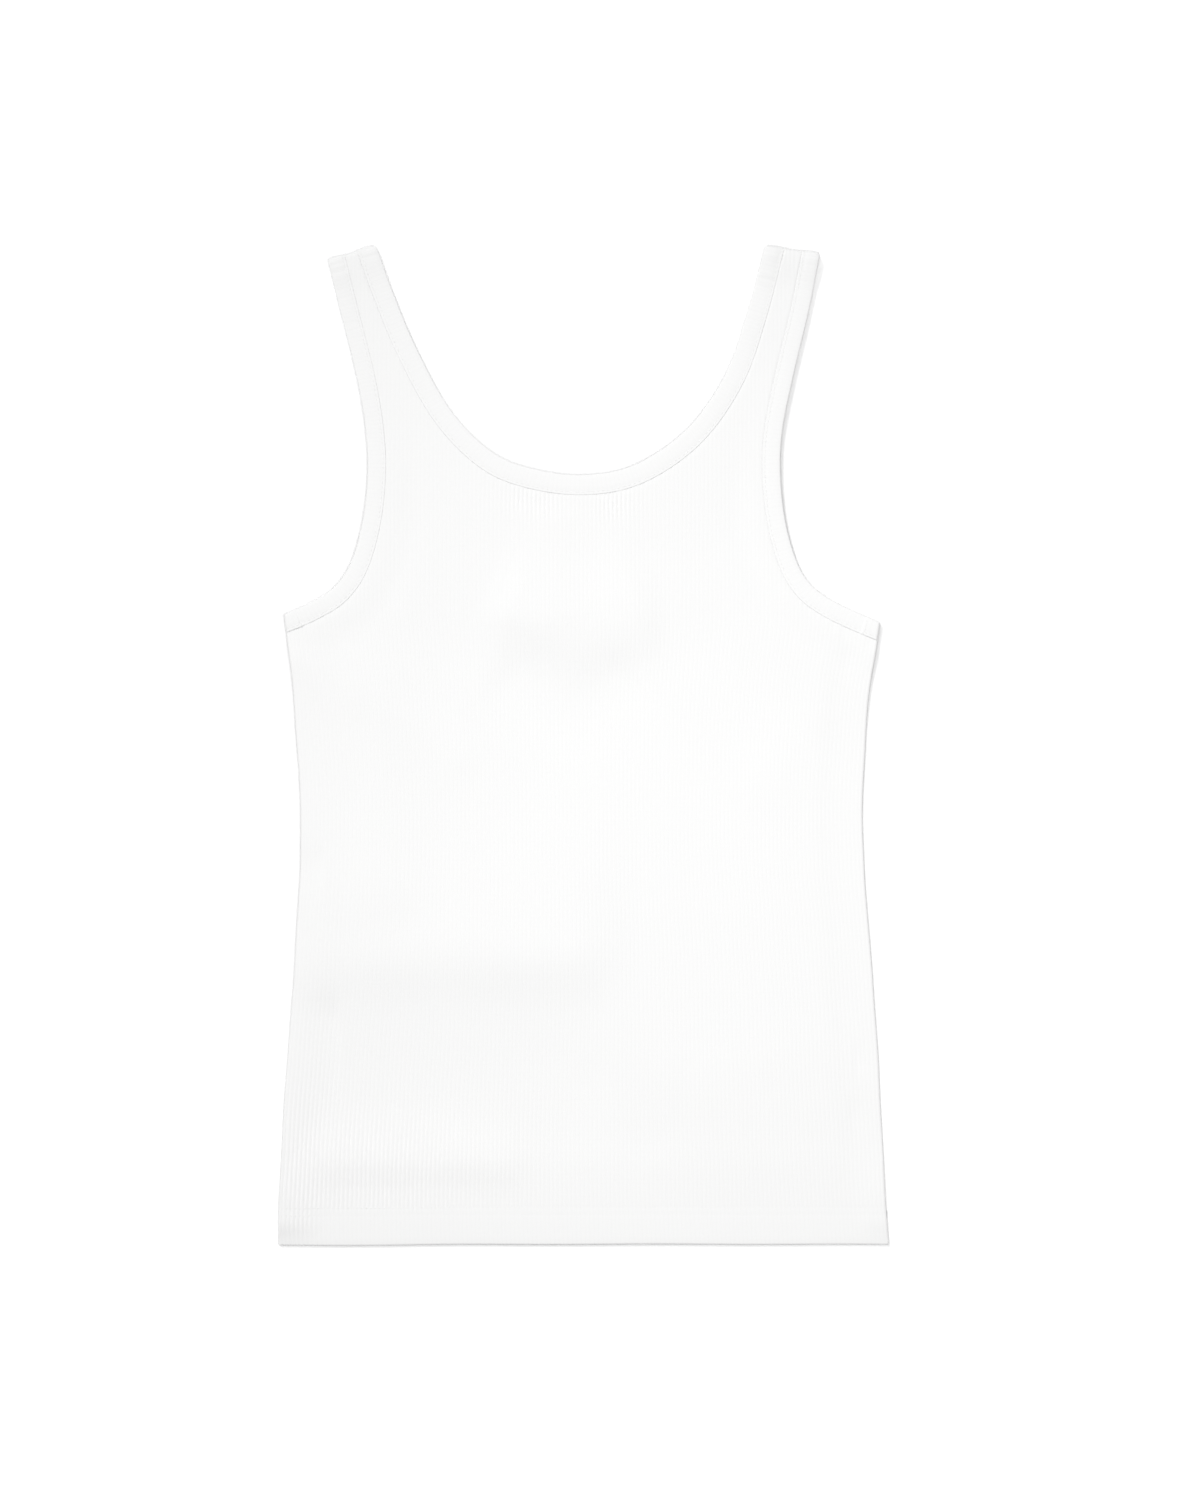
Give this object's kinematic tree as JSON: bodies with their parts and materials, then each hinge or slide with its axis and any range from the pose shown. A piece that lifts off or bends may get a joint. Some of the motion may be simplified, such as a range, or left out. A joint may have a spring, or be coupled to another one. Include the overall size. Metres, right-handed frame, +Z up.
{
  "type": "tank top",
  "caption": "White rib-knit tank top laid flat, back up, with a wide scoop neck, folded bindings round neck and armholes, and a turned-up hem.",
  "frame": {"origin": "centre of the garment's box on the surface that it lies on", "axes": "+Y from the hem to the neck, +Z up out of the back panel that is on top, +X to the right as seen from above"},
  "size_m": [0.3784, 0.6197, 0.0075],
  "materials": {
    "body_rib": "fine vertical rib knit, matt white cotton",
    "binding_rib": "folded rib knit strip with its ribs across it, matt white cotton",
    "sewing_thread": "spun white thread"
  },
  "bodies": {
    "root": {"back_panel": "body_rib", "front_panel": "body_rib", "neck_binding": "binding_rib", "armhole_binding_left": "binding_rib", "armhole_binding_right": "binding_rib"}
  },
  "joints": []
}
